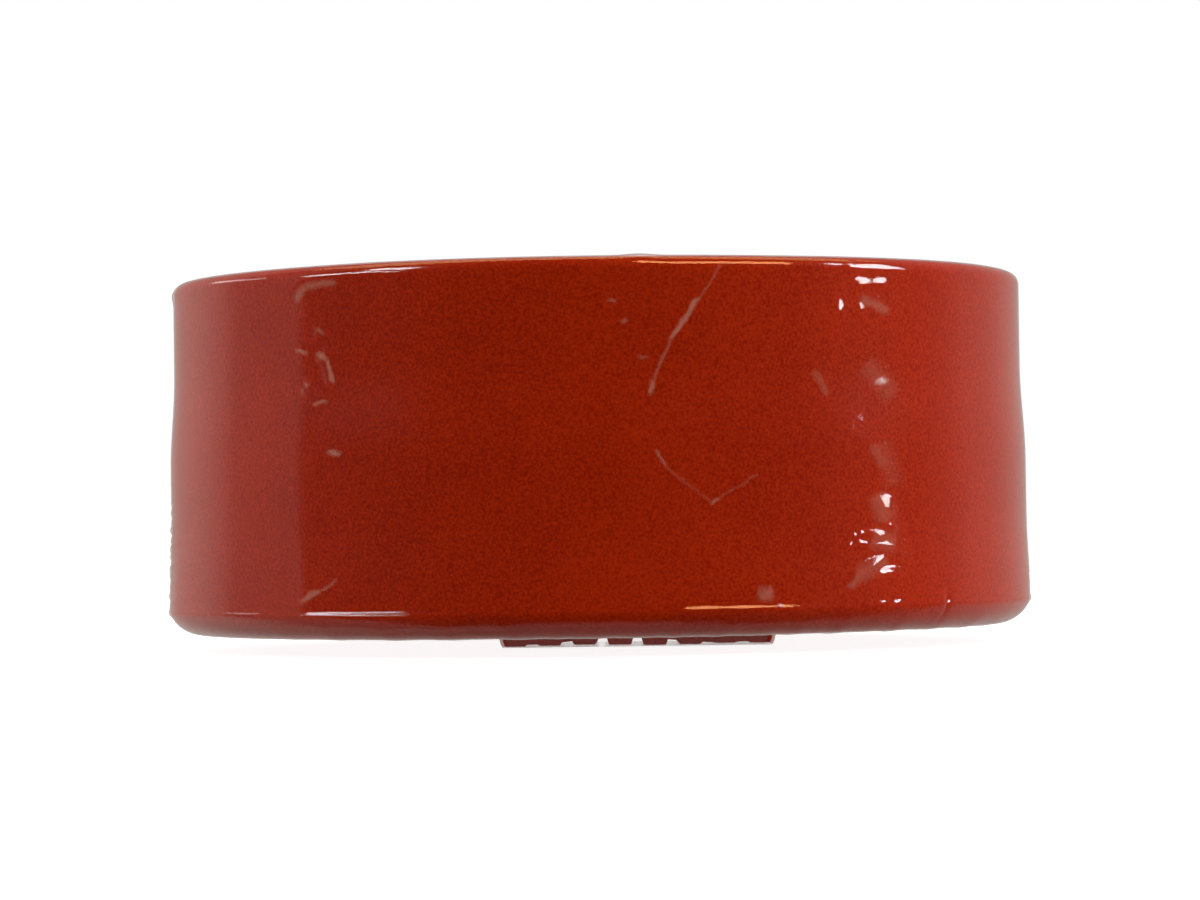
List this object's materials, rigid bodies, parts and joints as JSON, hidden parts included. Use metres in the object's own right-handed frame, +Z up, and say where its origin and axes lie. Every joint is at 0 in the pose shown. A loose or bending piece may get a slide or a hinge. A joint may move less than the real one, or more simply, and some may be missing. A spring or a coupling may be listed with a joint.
{
  "type": "detailing clay bar",
  "caption": "Round detailing clay bar: a slightly tapered disc with rounded edges and raised pads underneath, sealed in clear shrink film.",
  "frame": {"origin": "on the puck's axis, in the plane of the film's underside that the bar stands on", "axes": "+Z up along the puck's axis, +X along the rows of the raised mark, towards the side that the mark is shifted to"},
  "size_m": [0.0762, 0.0762, 0.0324],
  "materials": {
    "clay": "soft moulded clay, smooth satin",
    "film": "clear glossy shrink film, lightly creased"
  },
  "bodies": {
    "root": {"clay_puck": "clay", "clear_film": "film"}
  },
  "joints": []
}
